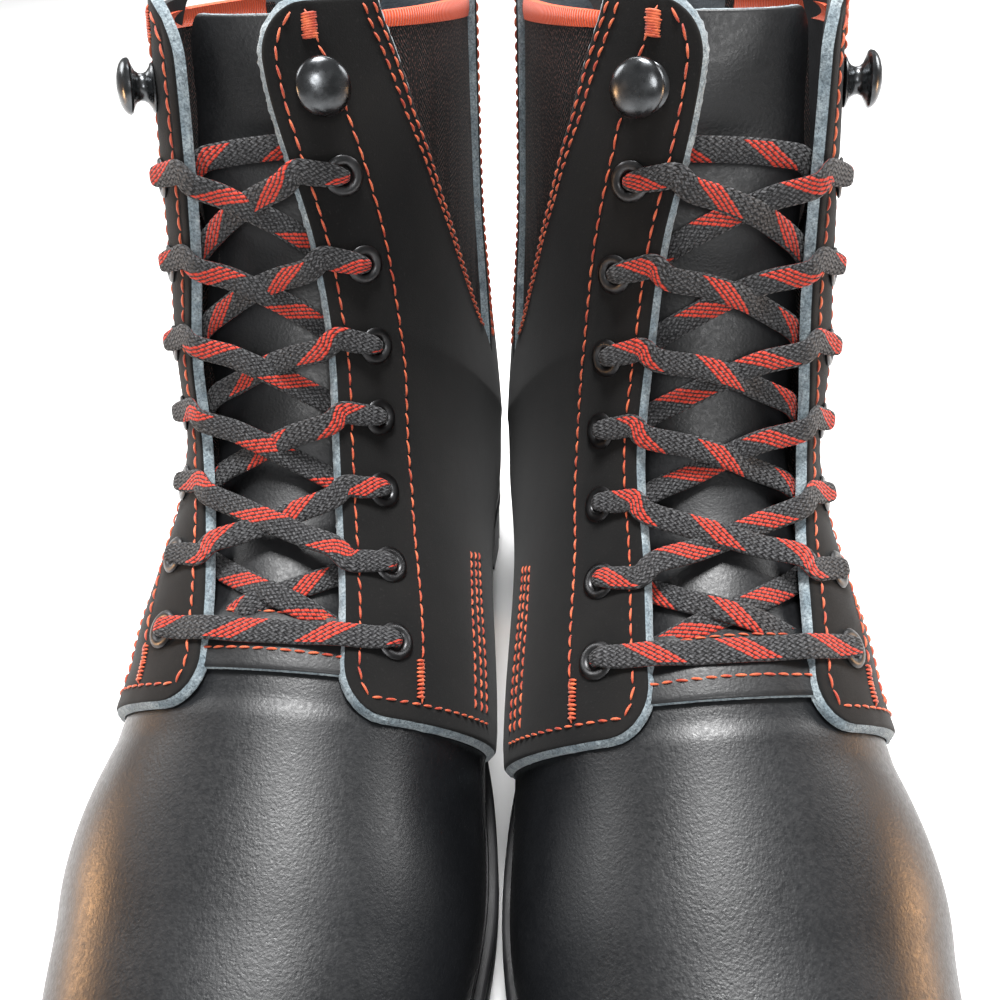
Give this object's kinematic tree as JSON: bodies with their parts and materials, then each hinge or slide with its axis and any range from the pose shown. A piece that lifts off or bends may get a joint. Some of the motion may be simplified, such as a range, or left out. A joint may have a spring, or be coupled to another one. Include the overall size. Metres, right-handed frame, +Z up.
{
  "type": "fire boots",
  "caption": "Pair of lace-up leather fire boots with elastic side gores, eyelet and speed-hook facings, folded-in tongues and cleated rubber soles.",
  "frame": {"origin": "bottom centre of the pair's bounding box, on the floor under the soles", "axes": "+Z up, toes towards -Y, the wearer's left boot at +X"},
  "size_m": [0.2034, 0.3003, 0.2099],
  "materials": {
    "sole_rubber": "matt black moulded",
    "welt_rubber": "satin black with a groove line",
    "cork": "rough granulated cork",
    "spring_steel": "plain",
    "board": "fibre board",
    "footbed_fabric": "brushed textile over foam",
    "smooth_leather": "semi-gloss fine grain",
    "nubuck_leather": "matt, raw blue-grey edges, red-orange stitching",
    "tongue_leather": "satin soft grain",
    "elastic": "herringbone elastic with a red-orange top band",
    "gunmetal": "dark gunmetal, satin",
    "braid": "flat braid, charcoal with red-orange blocks",
    "aglet_plastic": "black tube"
  },
  "bodies": {
    "right_boot": {"right_aglet_inner": "aglet_plastic", "right_aglet_outer": "aglet_plastic", "right_backstay": "nubuck_leather", "right_cork_filler": "cork", "right_eyelets_inner": "gunmetal", "right_eyelets_outer": "gunmetal", "right_footbed": "footbed_fabric", "right_gore_inner": "elastic", "right_gore_outer": "elastic", "right_heel_block": "sole_rubber", "right_heel_counter": "board", "right_hook_inner": "gunmetal", "right_hook_outer": "gunmetal", "right_insole_board": "board", "right_lace": "braid", "right_midsole": "sole_rubber", "right_outsole": "sole_rubber", "right_quarter_inner": "nubuck_leather", "right_quarter_outer": "nubuck_leather", "right_shank": "spring_steel", "right_toe_puff": "board", "right_tongue_base": "tongue_leather", "right_vamp": "smooth_leather", "right_welt": "welt_rubber"},
    "right_tongue": {"right_tongue_flap": "tongue_leather"},
    "left_boot": {"left_aglet_inner": "aglet_plastic", "left_aglet_outer": "aglet_plastic", "left_backstay": "nubuck_leather", "left_cork_filler": "cork", "left_eyelets_inner": "gunmetal", "left_eyelets_outer": "gunmetal", "left_footbed": "footbed_fabric", "left_gore_inner": "elastic", "left_gore_outer": "elastic", "left_heel_block": "sole_rubber", "left_heel_counter": "board", "left_hook_inner": "gunmetal", "left_hook_outer": "gunmetal", "left_insole_board": "board", "left_lace": "braid", "left_midsole": "sole_rubber", "left_outsole": "sole_rubber", "left_quarter_inner": "nubuck_leather", "left_quarter_outer": "nubuck_leather", "left_shank": "spring_steel", "left_toe_puff": "board", "left_tongue_base": "tongue_leather", "left_vamp": "smooth_leather", "left_welt": "welt_rubber"},
    "left_tongue": {"left_tongue_flap": "tongue_leather"}
  },
  "joints": [
    {"name": "right_tongue_fold", "type": "hinge", "parent": "right_boot", "child": "right_tongue", "pos_m": [-0.04329, 0.03981, 0.1878], "axis": [0.9976, -0.0698, 0], "range_deg": [-25, 0], "stiffness_Nm_per_rad": 0.08},
    {"name": "left_boot_lift", "type": "slide", "parent": "right_boot", "child": "left_boot", "axis": [0, 0, 1], "range_m": [0, 0.3]},
    {"name": "left_tongue_fold", "type": "hinge", "parent": "left_boot", "child": "left_tongue", "pos_m": [0.04329, 0.03381, 0.1878], "axis": [0.9976, 0.0698, 0], "range_deg": [-25, 0], "stiffness_Nm_per_rad": 0.08}
  ]
}
